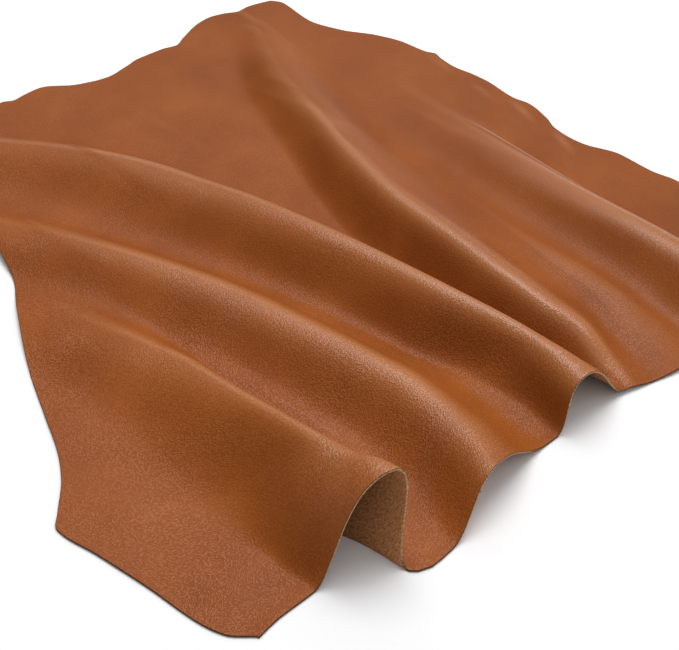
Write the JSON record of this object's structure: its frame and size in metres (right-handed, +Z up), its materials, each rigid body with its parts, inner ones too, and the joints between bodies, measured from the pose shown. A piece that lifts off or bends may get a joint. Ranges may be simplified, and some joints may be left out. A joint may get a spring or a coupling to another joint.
{
  "type": "leather hide",
  "caption": "Tanned leather hide with a wavy natural outline, lying on a flat surface in long rolling folds that open at one end.",
  "frame": {"origin": "middle of the footprint, on the surface that the hide lies on", "axes": "+X along the folds towards their open ends, +Y across the folds away from the tallest one, +Z up"},
  "size_m": [0.8638, 0.7638, 0.091],
  "materials": {
    "leather": "semi-gloss saddle tan grain side, matt suede flesh side"
  },
  "bodies": {
    "root": {"hide": "leather"}
  },
  "joints": []
}
